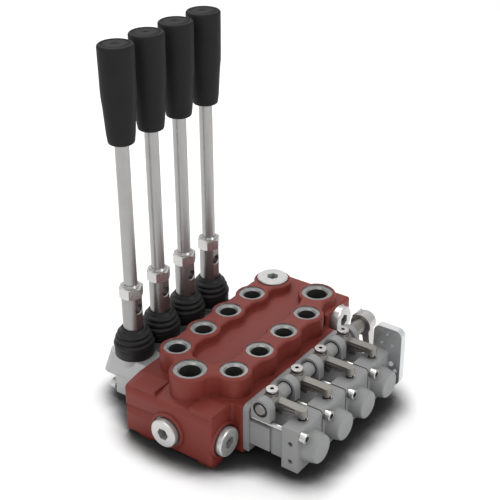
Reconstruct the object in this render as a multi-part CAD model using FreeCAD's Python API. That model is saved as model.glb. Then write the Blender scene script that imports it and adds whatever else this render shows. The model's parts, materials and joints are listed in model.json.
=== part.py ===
import FreeCAD, Part
import math
import os
from FreeCAD import Rotation, Vector

os.makedirs("parts", exist_ok=True)

# Monoblock directional control valve with four spools, in millimetres.
# X runs along the row of sections, -Y is the trip gear side, +Y the lever side, Z is up.
# Origin: on the surface the feet stand on, midway between spools 2 and 3 and between the port rows.

# Clearances
fit_gap = 0.05            # radial, a pin or shaft in its hole
seal_gap = 0.3            # between a soft or loose piece and what moves beside it

# Casting
sections = 4
pitch = 37.0              # spool to spool
row_spacing = 61.0        # A port row to B port row
foot_height = 4.0
underside_to_shelf = 47.0
shelf_to_ports = 20.0     # height of the port bosses over the shelf
valley_depth = 8.6        # channel between the two port rows
body_half_width = 52.0
work_boss_radius = 15.5
work_web = 11.0           # half width of the wall between two work port bosses
main_boss_radius = 17.8
main_web = 9.0
boss_blend = 7.0          # radius between neighbouring bosses
casting_edge = 2.4        # rounding of the boss tops
p_port_ahead = 20.7       # P port centre ahead of the first section
t_port_behind = 36.2      # T port centre behind the last section
t_port_y = -18.4
top_plug_behind = 34.0
near_end_length = 26.3    # P port centre to the near end face
far_end_length = 23.8     # T port centre to the far end face
corner_recess = 11.3      # how far the two corner faces stand back from the trip gear face
recess_margin = 17.0      # first and last spool to the start of the corner faces
deck_slope_length = 21.5
deck_slope_drop = 4.0
deck_end_radius = 6.5     # from the sloping deck down to the near end face
pad_length = 21.0
pad_width = 24.0
pad_rise = 0.8
pad_inset = 2.8           # near end face to the pads
pad_side_inset = 7.5      # lever side face to the pad beside it
ledge_depth = 3.6         # slanting ledge beside the end plug, in from the end face
ledge_side_heights = (23.0, 30.0)    # its foot and top at the lever side
ledge_plug_heights = (17.4, 32.0)    # the same beside the end plug
ledge_end_y = 14.0
end_boss_radius = 17.0    # round bosses of the end plug and the side plug
side_boss_radius = 16.5
boss_length = 10.0
boss_rise = 0.7           # the plug seats stand this far proud of the faces
boss_rim = 1.6            # and the bosses' rims this far proud of the seats
boss_rim_edge = 1.2
foot_x = (-92.0, 92.0)
foot_y = (-32.0, 32.0)
foot_half = 8.5
foot_corner = 3.0
foot_thread_radius = 3.4  # M8
foot_thread_depth = 12.0

# Passages inside the casting
work_passage_radius = 5.5
main_passage_radius = 7.0
gallery_y = 4.2
gallery_radius = 6.0
gallery_rise = 18.0       # pressure gallery over the underside
tank_gallery_radius = 5.0
tank_gallery_rise = 12.0  # tank gallery over the spool axis
load_check_radius = 6.0
load_check_length = 10.0
load_check_rise = 3.0     # seat over the top of the spool bore
relief_radius = 6.0
relief_length = 16.0
poppet_nose = 1.6
poppet_wall = 2.0

# Threaded ports, as tapping radii
work_thread_radius = 7.5      # G3/8
main_thread_radius = 9.3      # G1/2
work_spotface_radius = 12.1
main_spotface_radius = 14.5
spotface_depth = 1.0
thread_depth = 16.0
port_chamfer = 1.4

# Spools
spool_z = 27.0
spool_radius = 8.0
spool_stroke = 6.5        # room left for the travel each way
groove_radius = 5.2
chamber_radius = 10.5
chamber_width = 6.0
tail_radius = 4.8
seal_width = 2.6
seal_radius = 10.2
seal_inset = 6.0
tail_neck_radius = 3.2
tongue_past_lever = 6.5   # spool end past the lever's ball

# Levers
lever_y = 80.25
pivot_z = 53.0
pivot_pin_radius = 3.0
eye_radius = 8.0
eye_half_width = 6.0
ball_radius = 5.0
arm_radius = 4.0
arm_neck_radius = 2.8     # where the arm enters the spool's slot
arm_neck_margin = 2.0     # neck starts this far over the spool
stub_radius = 9.0
stub_bottom_z = 67.0
stub_length = 38.0
stub_flat = 8.1
stub_hole_radius = 4.2
stub_hole_rise = 26.3     # over the stub's bottom
stub_hole_chamfer = 0.7
nut_across_flats = 19.0
nut_height = 10.0
nut_collar = 2.2
rod_radius = 6.0
rod_engagement = 7.0
rod_free_length = 131.5
knob_length = 83.0
knob_top_radius = 15.0
knob_waist_radius = 14.6
knob_waist_height = 41.0
knob_bottom_radius = 11.3
knob_dome = 2.4
knob_bore_depth = 38.0

# Lever boxes and boots
box_half_width = 16.5
box_bottom_z = 8.0
box_shoulder_z = 26.0
box_top_z = 46.0
box_lug_depth = 39.5
box_nose_depth = 56.0
box_top_half_width = 12.0
box_corner = 9.0
box_cavity_half_width = 9.5
box_screw_x = 12.0
box_screw_z = 13.5
box_screw_radius = 3.0
box_screw_head_radius = 5.0
box_screw_hold = 12.0     # length in the casting
boot_seat_radius = 17.0
boot_seat_foot_radius = 12.0
boot_collar_radius = 13.6
boot_collar_height = 13.0
lever_bore_radius = 10.5
boot_radius = 17.7
boot_height = 27.0
boot_band_height = 9.3
boot_ribs = ((18.3, 5.4), (16.7, 5.0), (14.9, 4.4))   # crest radius and height
boot_groove = 1.5
boot_wall = 2.0

# Trip gear on the -Y side
flange_thickness = 6.0
flange_half_width = 17.5
gear_bottom_z = 8.5
flange_top_z = 53.0
bonnet_half_width = 16.0
bonnet_top_z = 40.0
bonnet_bottom_z = 16.5
bonnet_length = 33.0
spring_bore_radius = 9.2
spring_wire_radius = 1.1
spring_turns = 5
spring_steps = 14         # straight lengths in each turn
spring_sides = 8
block_length = 16.0
block_half_width = 17.75
block_top_z = 49.3
cap_length = 12.2
cap_base_radius = 14.6
cap_front_radius = 12.0
long_screw_radius = 2.5
long_screw_head_radius = 4.5
long_screw_head_height = 5.5
long_screw_x = 13.0
long_screw_high_z = 43.0
long_screw_low_z = 12.6
gear_screw_hold = 12.0    # length in the casting
cap_wall = 2.2
cup_thickness = 3.0
side_hole_radius = 2.1    # tapped M5, in both sides of each end block
side_hole_z = (35.0, 17.5)
side_hole_depth = 8.0
shaft_behind_face = 17.15   # casting's side face to the trip shaft
shaft_z = 55.8
shaft_radius = 5.0
ear_radius = 9.3
ear_start = -17.0
ear_thickness = 8.5
bush_radius = 7.0
second_ear_start = 6.5
second_ear_radius = 6.2
last_ear_radius = 9.8
last_ear_thickness = 6.0
finger_reach = 30.35
finger_hub_radius = 7.8
finger_tip_radius = 4.15
finger_root_inset = 3.0
pocket_rim = 1.0
pocket_depth = 1.3
upper_pocket_height = 1.9
finger_tip_bottom = 3.7   # under the shaft axis
finger_tip_top = 3.9      # over the shaft axis
finger_arm_half = 3.9
finger_root_drop = 6.2    # under the shaft axis, at the hub
finger_arm_end_height = 5.0
clamp_seat_radius = 5.6
clamp_seat_rise = 8.7     # over the shaft axis
clamp_screw_radius = 2.0
pin_radius = 2.6
guide_radius = 4.3
guide_length = 5.0
guide_rise = 0.5          # over the block's top
wiper_radius = 3.6
wiper_depth = 0.8
shaft_end_rise = 0.8      # shaft end past the first bush
end_lever_behind = 33.0   # last section to the end lever
end_hub_length = 11.0
end_hub_radius = 9.6
end_arm_length = 33.0
end_arm_half_width = 4.5
end_arm_lean = 12.0       # degrees from straight down, towards -Y
end_seat_lean = -50.0     # degrees from straight up, away from the casting

# Plate that carries the switch
plate_thickness = 7.0
plate_width = 28.0
plate_height = 57.0
plate_bottom_z = 15.0
plate_corner = 7.0
plate_ahead = 8.7         # lift pin to the plate's inner edge
plate_screw_radius = 2.0
switch_drop = 13.0        # plate top to the centre of the switch holes
switch_circle_radius = 6.5
switch_hole_radius = 1.65
plate_holes = ((5.0, 21.0, 2.6), (9.3, 15.2, 2.1))   # behind the switch, over the plate's foot, radius

# Plugs
side_plug_inset = 16.2    # near end face to the side plug
far_plug_behind = 1.9     # T port centre to the far plug
far_plug_drop = 1.4       # far plug under the shelf
top_plug_sink = 2.0
plug_radius = 13.0
plug_head = 5.0
plug_spotface_depth = boss_rim + 1.0
top_plug_head = 2.2
end_bore_depth = 25.0      # near end plug into the P port's passage
plug_thread_length = 11.0
plug_socket = 10.0        # across flats
top_plug_radius = 14.6
seal_thickness = 2.0

# Places that follow from the sizes above
underside_z = foot_height
shelf_z = underside_z + underside_to_shelf
port_z = shelf_z + shelf_to_ports
valley_z = port_z - valley_depth
row_y = row_spacing / 2
section_x = [(i - (sections - 1) / 2) * pitch for i in range(sections)]
first_x = section_x[0]
last_x = section_x[-1]
p_x = first_x - p_port_ahead
t_x = last_x + t_port_behind
top_plug_x = last_x + top_plug_behind
near_x = p_x - near_end_length
far_x = t_x + far_end_length
lever_face_y = body_half_width
gear_face_y = -body_half_width
shaft_y = gear_face_y - shaft_behind_face
corner_face_y = gear_face_y + corner_recess
end_plug_x = near_x - boss_rise
side_plug_y = corner_face_y - boss_rise
gallery_z = underside_z + gallery_rise
side_plug_x = near_x + side_plug_inset
far_plug_x = t_x + far_plug_behind
far_plug_z = shelf_z - far_plug_drop
load_check_z = spool_z + spool_radius + load_check_rise
relief_y = corner_face_y + plug_thread_length + seal_thickness
chamber_places = (-row_y, -row_y / 2, 0, row_y / 2, row_y)
gear_screw_places = [(-long_screw_x, long_screw_high_z), (long_screw_x, long_screw_low_z)]
tongue_end_y = lever_y + tongue_past_lever
nut_z = stub_bottom_z + stub_length
rod_top_z = nut_z + nut_height + nut_collar + rod_free_length
knob_top_z = rod_top_z + knob_length
pin_y = shaft_y - finger_reach
flange_back_y = gear_face_y - flange_thickness
block_face_y = flange_back_y - bonnet_length
block_front_y = block_face_y - block_length
cap_front_y = block_front_y - cap_length
tail_end_y = cap_front_y + cap_wall + spool_stroke + seal_gap
tip_bottom_z = shaft_z - finger_tip_bottom
hub_start = ear_start + ear_thickness + seal_gap
hub_end = second_ear_start - seal_gap
shaft_start_x = first_x + ear_start - shaft_end_rise
end_lever_x = last_x + end_lever_behind
shaft_end_x = end_lever_x + end_hub_length - 1
plate_x = last_x + block_half_width
plate_y1 = pin_y + plate_ahead
plate_y0 = plate_y1 - plate_width
plate_top_z = plate_bottom_z + plate_height
switch_y = plate_y0 + plate_width / 2
switch_z = plate_top_z - switch_drop


def box(x0, x1, y0, y1, z0, z1):
    return Part.makeBox(x1 - x0, y1 - y0, z1 - z0, Vector(x0, y0, z0))


def bar(axis, x, y, z, radius, length):
    """Round bar that starts at a point and runs along an axis."""
    return Part.makeCylinder(radius, length, Vector(x, y, z), axis)


ALONG_X = Vector(1, 0, 0)
ALONG_Y = Vector(0, 1, 0)
ALONG_Z = Vector(0, 0, 1)
BACK_X = Vector(-1, 0, 0)
BACK_Y = Vector(0, -1, 0)
DOWN = Vector(0, 0, -1)


def cone(axis, x, y, z, radius, end_radius, length):
    return Part.makeCone(radius, end_radius, length, Vector(x, y, z), axis)


def plate(points, travel):
    """Flat polygon through the points, swept by a vector."""
    return Part.Face(Part.makePolygon(points + points[:1])).extrude(travel)


def turned(profile, x, y):
    """Solid of revolution about the vertical line through x, y, from (radius, height) points."""
    points = [Vector(x + radius, y, height) for radius, height in profile]
    face = Part.Face(Part.makePolygon(points + points[:1]))
    return face.revolve(Vector(x, y, 0), ALONG_Z, 360)


def hexagon(axis, x, y, z, across_flats, length):
    corner = across_flats / math.sqrt(3)
    turn = Rotation(ALONG_Z, axis)
    points = []
    for i in range(6):
        angle = math.radians(60 * i + 30)
        corner_point = Vector(corner * math.cos(angle), corner * math.sin(angle), 0)
        points.append(turn.multVec(corner_point) + Vector(x, y, z))
    return plate(points, axis * length)


def fused(shapes):
    return shapes[0].multiFuse(shapes[1:]).removeSplitter()


def round_edges(shape, radius, wanted):
    edges = [edge for edge in shape.Edges if wanted(edge)]
    return shape.makeFillet(radius, edges)


def upright(edge):
    """True for a straight edge that runs along Z."""
    if len(edge.Vertexes) != 2:
        return False
    run = edge.Vertexes[1].Point - edge.Vertexes[0].Point
    return abs(run.x) < 1e-4 and abs(run.y) < 1e-4 and abs(run.z) > 0.5


def at_height(z):
    return lambda edge: edge.BoundBox.ZLength < 1e-4 and abs(edge.BoundBox.ZMin - z) < 1e-4


def save(name, shape):
    shape.exportStep("parts/" + name + ".step")


def save_group(name, solids):
    save(name, Part.makeCompound(solids))


def socket_screw(axis, x, y, z, radius, head_radius, head_height, length):
    """Socket head screw: the point is under the head, and the axis points from there to the tip."""
    reach = length + head_height
    back = Vector(x, y, z) - axis * head_height
    shank = bar(axis, back.x, back.y, back.z, radius, reach)
    head = bar(axis, back.x, back.y, back.z, head_radius, head_height)
    rim = [edge for edge in head.Edges if abs(edge.Length - 2 * math.pi * head_radius) < 0.01]
    rim.sort(key=lambda edge: (edge.CenterOfMass - back).Length)
    head = head.makeChamfer(0.08 * head_radius, rim[:1])
    socket = hexagon(axis, back.x, back.y, back.z, head_radius, 0.5 * head_height)
    return shank.fuse(head).cut(socket)


# Valve body: the shape of the raised port bosses, seen from above
def web(start, end, half_width):
    run = (end - start).normalize()
    side = Vector(-run.y, run.x, 0) * half_width
    points = [start + side, end + side, end - side, start - side]
    return Part.Face(Part.makePolygon(points + points[:1]))


def disc(centre, radius):
    return Part.Face(Part.Wire(Part.makeCircle(radius, centre)))


a_ports = [Vector(x, row_y, 0) for x in section_x]
b_ports = [Vector(x, -row_y, 0) for x in section_x]
p_port = Vector(p_x, 0, 0)
t_port = Vector(t_x, t_port_y, 0)
top_plug = Vector(top_plug_x, row_y, 0)


def boss_plan():
    shapes = [disc(centre, work_boss_radius) for centre in a_ports + b_ports]
    shapes += [disc(centre, main_boss_radius) for centre in (p_port, t_port, top_plug)]
    for row, last_boss in ((a_ports, top_plug), (b_ports, t_port)):
        shapes.append(web(p_port, row[0], main_web))
        for start, end in zip(row, row[1:]):
            shapes.append(web(start, end, work_web))
        shapes.append(web(row[-1], last_boss, work_web))
    merged = fused([shape.extrude(ALONG_Z) for shape in shapes])
    plan = next(face for face in merged.Faces if at_height(1)(face))
    wide = plan.makeOffset2D(boss_blend).Faces[0]
    return wide.makeOffset2D(-boss_blend).Faces[0]


def raised_bosses():
    plan = boss_plan()
    low_z = underside_z + foot_height
    bosses = plan.extrude(Vector(0, 0, port_z - low_z))
    bosses.translate(Vector(0, 0, low_z - plan.BoundBox.ZMin))
    return round_edges(bosses, casting_edge, at_height(port_z))


def deck_end_corner():
    """What rounding takes off between the sloping deck and the near end face."""
    start_y, width = gear_face_y - 1, 2 * body_half_width + 2
    tilt = math.atan2(deck_slope_drop, deck_slope_length + 1)
    deck_z = shelf_z - deck_slope_drop + math.tan(tilt)
    centre_x = near_x + deck_end_radius
    centre_z = deck_z + deck_end_radius * (math.tan(tilt) - 1 / math.cos(tilt))
    touch_x = centre_x - deck_end_radius * math.sin(tilt)
    corner = plate([
        Vector(near_x - 1, start_y, centre_z), Vector(centre_x, start_y, centre_z),
        Vector(touch_x, start_y, centre_z + deck_end_radius * math.cos(tilt)),
        Vector(touch_x, start_y, shelf_z + 1), Vector(near_x - 1, start_y, shelf_z + 1)],
        Vector(0, width, 0))
    return corner.cut(bar(ALONG_Y, centre_x, start_y - 1, centre_z, deck_end_radius, width + 2))


def body_block():
    block = box(near_x, far_x, gear_face_y, lever_face_y, underside_z, shelf_z)
    slope = [
        Vector(near_x - 1, gear_face_y - 1, shelf_z + 1),
        Vector(near_x - 1, gear_face_y - 1, shelf_z - deck_slope_drop),
        Vector(near_x + deck_slope_length, gear_face_y - 1, shelf_z),
        Vector(near_x + deck_slope_length, gear_face_y - 1, shelf_z + 1),
    ]
    block = block.cut(plate(slope, Vector(0, 2 * body_half_width + 2, 0)))
    for x0, x1 in ((near_x - 1, first_x - recess_margin), (last_x + recess_margin, far_x + 1)):
        block = block.cut(box(x0, x1, gear_face_y - 1, corner_face_y, 0, port_z))
    block = round_edges(block, casting_edge, upright).cut(deck_end_corner())
    end_block = box(t_x - 18, far_x, corner_face_y, lever_face_y, underside_z + 5, valley_z)
    end_block = round_edges(end_block, casting_edge, upright)
    end_block = round_edges(end_block, casting_edge, at_height(valley_z))
    low_z = underside_z + 5
    valley = plate([
        Vector(p_x, -main_web, low_z), Vector(first_x, -row_y, low_z), Vector(t_x, -row_y, low_z),
        Vector(t_x, row_y, low_z), Vector(first_x, row_y, low_z), Vector(p_x, main_web, low_z)],
        Vector(0, 0, valley_z - low_z))
    return fused([block, end_block, valley])


def end_pads():
    """Two raised pads on the sloping deck, one on each side of the P port."""
    start_x = near_x + pad_inset
    rise_z = shelf_z + pad_rise
    low_z = shelf_z - 2 * deck_slope_drop
    pad_far_y = lever_face_y - pad_side_inset
    pads = []
    for y0 in (pad_far_y - pad_width, corner_face_y + 0.5):
        pad = box(start_x, start_x + pad_length, y0, y0 + pad_width, low_z, rise_z)
        pad = round_edges(pad, 1.2, upright)
        pads.append(round_edges(pad, 0.7, at_height(rise_z)))
    return pads


def end_face_ledge():
    """What is taken off the end face over the slanting ledge beside the end plug."""
    sections = []
    for y, (foot_z, top_z) in ((lever_face_y + 1, ledge_side_heights), (ledge_end_y, ledge_plug_heights)):
        fall = (top_z - foot_z) / ledge_depth
        corners = [Vector(near_x - 1, y, foot_z - fall), Vector(near_x + ledge_depth, y, top_z),
                   Vector(near_x - 1, y, top_z)]
        sections.append(Part.makePolygon(corners + corners[:1]))
    return Part.makeLoft(sections, True, True)


def feet():
    pads = []
    for x in foot_x:
        for y in foot_y:
            pad = box(x - foot_half, x + foot_half, y - foot_half, y + foot_half, 0, underside_z + 3)
            pads.append(round_edges(pad, foot_corner, upright))
    return pads


def port_cut(centre, thread_radius, spotface, sink, passage_radius, bottom_z):
    """Spotface, chamfer and tapped bore of one port, with the passage under it."""
    x, y = centre.x, centre.y
    face_z = port_z - sink
    return fused([
        bar(DOWN, x, y, port_z + 1, spotface, sink + 1),
        cone(DOWN, x, y, face_z, thread_radius + port_chamfer, thread_radius, port_chamfer),
        bar(DOWN, x, y, face_z, thread_radius, thread_depth),
        bar(DOWN, x, y, face_z, passage_radius, face_z - bottom_z),
    ])


def plug_cut(axis, x, y, z, depth):
    """Tapped hole for a plug: the point is on its spotface, and the axis points into the casting."""
    back = Vector(x, y, z) - axis * plug_spotface_depth
    return fused([
        bar(axis, back.x, back.y, back.z, plug_radius + 1.0, plug_spotface_depth),
        bar(axis, x, y, z, main_thread_radius, plug_thread_length + seal_thickness),
        bar(axis, x, y, z, main_thread_radius - 2.2, depth),
    ])


def spool_cut(x):
    width = 2 * body_half_width
    cuts = [bar(ALONG_Y, x, gear_face_y - 1, spool_z, spool_radius + fit_gap, width + 2)]
    for y in chamber_places:
        cuts.append(bar(ALONG_Y, x, y - chamber_width / 2, spool_z, chamber_radius, chamber_width))
    for side in (-1, 1):
        y = side * (body_half_width - seal_inset) - seal_width / 2
        cuts.append(bar(ALONG_Y, x, y, spool_z, seal_radius + fit_gap, seal_width))
    cuts.append(bar(ALONG_Z, x, 0, load_check_z, load_check_radius + fit_gap, 1.8 * load_check_length))
    cuts.append(bar(ALONG_Z, x, 0, spool_z, load_check_radius - poppet_wall, load_check_z - spool_z))
    return cuts


def fixing_holes(x):
    holes = []
    for side in (-1, 1):
        holes.append(bar(BACK_Y, x + side * box_screw_x, lever_face_y, box_screw_z,
                         box_screw_radius + fit_gap, box_screw_hold + 2))
    for dx, z in gear_screw_places:
        holes.append(bar(ALONG_Y, x + dx, gear_face_y, z,
                         long_screw_radius + fit_gap, gear_screw_hold + 2))
    return holes


def valve_body():
    body = fused([body_block(), raised_bosses()] + end_pads() + feet())
    body = body.cut(end_face_ledge())
    end_boss = bar(ALONG_X, end_plug_x - boss_rim, gallery_y, gallery_z, end_boss_radius, boss_length)
    body = body.fuse(round_edges(end_boss, boss_rim_edge, lambda edge: edge.BoundBox.XMax < near_x))
    side_boss = bar(ALONG_Y, side_plug_x, side_plug_y - boss_rim, gallery_z, side_boss_radius, boss_length)
    side_boss = round_edges(side_boss, boss_rim_edge, lambda edge: edge.BoundBox.YMax < corner_face_y)
    body = body.fuse(side_boss.common(
        box(near_x, first_x - recess_margin, side_plug_y - boss_rim, 0, underside_z, shelf_z)))
    cuts = []
    for centre in a_ports + b_ports:
        cuts.append(port_cut(centre, work_thread_radius, work_spotface_radius, spotface_depth,
                             work_passage_radius, spool_z))
    for centre, bottom_z in ((p_port, gallery_z), (t_port, far_plug_z - 12)):
        cuts.append(port_cut(centre, main_thread_radius, main_spotface_radius, spotface_depth,
                             main_passage_radius, bottom_z))
    cuts.append(port_cut(top_plug, main_thread_radius, top_plug_radius + 0.5, top_plug_sink,
                         work_passage_radius, spool_z))
    for x in section_x:
        cuts += spool_cut(x) + fixing_holes(x)
    cuts.append(bar(ALONG_X, near_x, gallery_y, gallery_z, gallery_radius, t_x - near_x))
    cuts.append(bar(ALONG_X, first_x, -row_y / 2, spool_z + tank_gallery_rise,
                    tank_gallery_radius, t_x - first_x))
    cuts.append(plug_cut(ALONG_X, end_plug_x, gallery_y, gallery_z, end_bore_depth))
    cuts.append(plug_cut(ALONG_Y, side_plug_x, side_plug_y, gallery_z, plug_thread_length + 3))
    cuts.append(bar(ALONG_Y, side_plug_x, corner_face_y, gallery_z,
                    relief_radius + fit_gap, relief_length + plug_thread_length + 3))
    cuts.append(bar(ALONG_Y, side_plug_x, corner_face_y, gallery_z,
                    relief_radius - poppet_wall, gallery_y - corner_face_y))
    cuts.append(plug_cut(ALONG_Y, far_plug_x, corner_face_y, far_plug_z, t_port_y - corner_face_y))
    for x in foot_x:
        for y in foot_y:
            cuts.append(bar(ALONG_Z, x, y, 0, foot_thread_radius, foot_thread_depth))
    return body.cut(cuts)


save("valve_body", valve_body())


# Plugs and their bonded seals
def plug(axis, x, y, z, radius, head):
    """Hex socket plug; the point is on the face that its seal lies on."""
    outward = Vector(x, y, z) - axis * (head + seal_thickness)
    body = bar(axis, outward.x, outward.y, outward.z, radius, head)
    rim = [edge for edge in body.Edges if abs(edge.Length - 2 * math.pi * radius) < 0.01]
    rim.sort(key=lambda edge: (edge.CenterOfMass - outward).Length)
    body = body.makeChamfer(1.0, rim[:1])
    thread = bar(axis, outward.x, outward.y, outward.z, main_thread_radius - fit_gap,
                 head + seal_thickness + plug_thread_length)
    socket = hexagon(axis, outward.x, outward.y, outward.z, plug_socket, head + 3)
    return body.fuse(thread).cut(socket)


def bonded_seal(axis, x, y, z, radius):
    start = Vector(x, y, z) - axis * seal_thickness
    ring = bar(axis, start.x, start.y, start.z, radius, seal_thickness)
    return ring.cut(bar(axis, start.x, start.y, start.z, main_thread_radius + fit_gap, seal_thickness))


plug_places = [
    (ALONG_X, end_plug_x, gallery_y, gallery_z, plug_radius, plug_head),
    (ALONG_Y, side_plug_x, side_plug_y, gallery_z, plug_radius, plug_head),
    (ALONG_Y, far_plug_x, corner_face_y, far_plug_z, plug_radius, plug_head),
    (DOWN, top_plug.x, top_plug.y, port_z - top_plug_sink, top_plug_radius, top_plug_head),
]
save_group("port_plugs", [plug(*place) for place in plug_places])
save_group("bonded_seals", [
    bonded_seal(axis, x, y, z, radius - seal_gap) for axis, x, y, z, radius, head in plug_places])


# Poppets: a load check over each spool, and the relief poppet behind the side plug
def poppet(axis, x, y, z, radius, length):
    nose = cone(axis, x, y, z, radius - poppet_nose, radius, poppet_nose)
    start = Vector(x, y, z) + axis * poppet_nose
    skirt = bar(axis, start.x, start.y, start.z, radius, length - poppet_nose)
    bore = start + axis * poppet_wall
    return nose.fuse(skirt).cut(bar(axis, bore.x, bore.y, bore.z, radius - poppet_wall, length))


poppets = [poppet(ALONG_Z, x, 0, load_check_z, load_check_radius, load_check_length) for x in section_x]
poppets.append(poppet(BACK_Y, side_plug_x, relief_y + relief_length, gallery_z, relief_radius, relief_length))
save_group("check_and_relief_poppets", poppets)


# Spools
def spool(x):
    spool_end_y = gear_face_y + 2.0
    shape = bar(ALONG_Y, x, spool_end_y, spool_z, spool_radius, tongue_end_y - spool_end_y)
    for y in chamber_places[1:-1:2]:
        ring = bar(ALONG_Y, x, y - 6, spool_z, spool_radius + 1, 12)
        shape = shape.cut(ring.cut(bar(ALONG_Y, x, y - 6, spool_z, groove_radius, 12)))
    shape = shape.fuse(bar(BACK_Y, x, spool_end_y, spool_z, tail_radius, spool_end_y - tail_end_y))
    neck_half = spool_stroke + pin_radius + 0.1
    neck = bar(ALONG_Y, x, pin_y - neck_half, spool_z, tail_radius + 1, 2 * neck_half)
    neck = neck.cut(bar(ALONG_Y, x, pin_y - neck_half, spool_z, tail_neck_radius, 2 * neck_half))
    shape = shape.cut(neck)
    slot_half = ball_radius + seal_gap / 2
    slot = box(x - slot_half, x + slot_half, lever_y - slot_half, lever_y + slot_half,
               spool_z - spool_radius - 1, spool_z + spool_radius + 1)
    return shape.cut(slot)


def spool_seal(x, side):
    y = side * (body_half_width - seal_inset) - seal_width / 2
    ring = bar(ALONG_Y, x, y, spool_z, seal_radius, seal_width)
    return ring.cut(bar(ALONG_Y, x, y, spool_z, spool_radius + seal_gap, seal_width))


for number, x in enumerate(section_x, 1):
    save(f"spool_{number}", spool(x))
save_group("spool_seals", [spool_seal(x, side) for x in section_x for side in (-1, 1)])


# Lever boxes: cast aluminium, each bolted to the casting by two long screws
def rounded_rect(x, half_width, y0, y1, z, corner):
    """Plan of the lever box at one height, with its two outer corners rounded."""
    left, right = x - half_width, x + half_width
    diagonal = corner * (1 - math.sqrt(0.5))
    arc_right = Part.Arc(Vector(right, y1 - corner, z), Vector(right - diagonal, y1 - diagonal, z),
                         Vector(right - corner, y1, z))
    arc_left = Part.Arc(Vector(left + corner, y1, z), Vector(left + diagonal, y1 - diagonal, z),
                        Vector(left, y1 - corner, z))
    edges = [
        Part.makeLine(Vector(left, y0, z), Vector(right, y0, z)),
        Part.makeLine(Vector(right, y0, z), Vector(right, y1 - corner, z)),
        arc_right.toShape(),
        Part.makeLine(Vector(right - corner, y1, z), Vector(left + corner, y1, z)),
        arc_left.toShape(),
        Part.makeLine(Vector(left, y1 - corner, z), Vector(left, y0, z)),
    ]
    return Part.Wire(edges)


def lever_box(x):
    y0 = lever_face_y
    lug = box(x - box_half_width, x + box_half_width, y0, y0 + box_lug_depth,
              box_bottom_z, box_shoulder_z + 1)
    lug = round_edges(lug, 2.0, upright)
    nose = Part.makeLoft([
        rounded_rect(x, box_half_width, y0, y0 + box_nose_depth, box_shoulder_z, box_corner),
        rounded_rect(x, box_top_half_width, y0, y0 + box_nose_depth - 5, box_top_z, box_corner)],
        True, True)
    seat = cone(DOWN, x, lever_y, box_top_z, boot_seat_radius, boot_seat_foot_radius, 17.0)
    collar = bar(ALONG_Z, x, lever_y, box_top_z - 1, boot_collar_radius, boot_collar_height + 1)
    shape = fused([lug, nose, seat, collar])
    top_z = box_top_z + boot_collar_height
    cavity_end_y = tongue_end_y + spool_stroke + 1.5
    shape = shape.cut([
        box(x - box_cavity_half_width, x + box_cavity_half_width, y0 - 1, cavity_end_y,
            spool_z - spool_radius - 1, box_top_z - 4),
        bar(ALONG_Z, x, lever_y, spool_z, lever_bore_radius, top_z - spool_z + 1),
        bar(ALONG_X, x - boot_seat_radius, lever_y, pivot_z, pivot_pin_radius + fit_gap,
            2 * boot_seat_radius)])
    for side in (-1, 1):
        shape = shape.cut(bar(ALONG_Y, x + side * box_screw_x, y0 - 1, box_screw_z,
                              box_screw_radius + 0.3, box_lug_depth + 2))
    return shape


def pivot_pin(x):
    half_length = boot_collar_radius - 0.5
    return bar(ALONG_X, x - half_length, lever_y, pivot_z, pivot_pin_radius, 2 * half_length)


for number, x in enumerate(section_x, 1):
    save(f"lever_box_{number}", lever_box(x))
save_group("pivot_pins", [pivot_pin(x) for x in section_x])
save_group("lever_box_screws", [
    socket_screw(BACK_Y, x + side * box_screw_x, lever_face_y + box_lug_depth, box_screw_z,
                 box_screw_radius, box_screw_head_radius, 2 * box_screw_radius,
                 box_lug_depth + box_screw_hold)
    for x in section_x for side in (-1, 1)])


# Hand levers: stub with its ball, lock nut, rod and knob
def lever_stub(x):
    eye = bar(ALONG_X, x - eye_half_width, lever_y, pivot_z, eye_radius, 2 * eye_half_width)
    neck = bar(ALONG_Z, x, lever_y, pivot_z, 6.3, stub_bottom_z - pivot_z)
    stub = bar(ALONG_Z, x, lever_y, stub_bottom_z, stub_radius, stub_length)
    stub = stub.cut(box(x - 10, x + 10, lever_y - 12, lever_y - stub_flat, stub_bottom_z, nut_z))
    neck_top_z = spool_z + spool_radius + arm_neck_margin
    arm = bar(DOWN, x, lever_y, pivot_z, arm_radius, pivot_z - neck_top_z)
    arm_neck = bar(DOWN, x, lever_y, neck_top_z, arm_neck_radius, neck_top_z - spool_z)
    ball = Part.makeSphere(ball_radius, Vector(x, lever_y, spool_z))
    shape = fused([eye, neck, stub, arm, arm_neck, ball])
    hole_z = stub_bottom_z + stub_hole_rise
    flat_y = lever_y - stub_flat
    return shape.cut([
        bar(ALONG_X, x - 10, lever_y, pivot_z, pivot_pin_radius + fit_gap, 20),
        bar(ALONG_Y, x, lever_y - 12, hole_z, stub_hole_radius, 24),
        cone(ALONG_Y, x, flat_y, hole_z, stub_hole_radius + stub_hole_chamfer, stub_hole_radius,
             stub_hole_chamfer),
        bar(DOWN, x, lever_y, nut_z, rod_radius + fit_gap, rod_engagement)])


def lock_nut(x):
    corner = nut_across_flats / math.sqrt(3)
    body = hexagon(ALONG_Z, x, lever_y, nut_z, nut_across_flats, nut_height)
    bevel = turned([
        (0, nut_z), (corner - 1.2, nut_z), (corner, nut_z + 0.9),
        (corner, nut_z + nut_height - 0.9), (corner - 1.2, nut_z + nut_height), (0, nut_z + nut_height)],
        x, lever_y)
    body = body.common(bevel)
    collar = cone(ALONG_Z, x, lever_y, nut_z + nut_height, 7.6, 6.7, nut_collar)
    shape = body.fuse(collar)
    return shape.cut(bar(ALONG_Z, x, lever_y, nut_z - 1, rod_radius + fit_gap, nut_height + nut_collar + 2))


def lever_rod(x):
    bottom_z = nut_z - rod_engagement
    return bar(ALONG_Z, x, lever_y, bottom_z, rod_radius, rod_top_z + knob_bore_depth - bottom_z)


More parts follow.
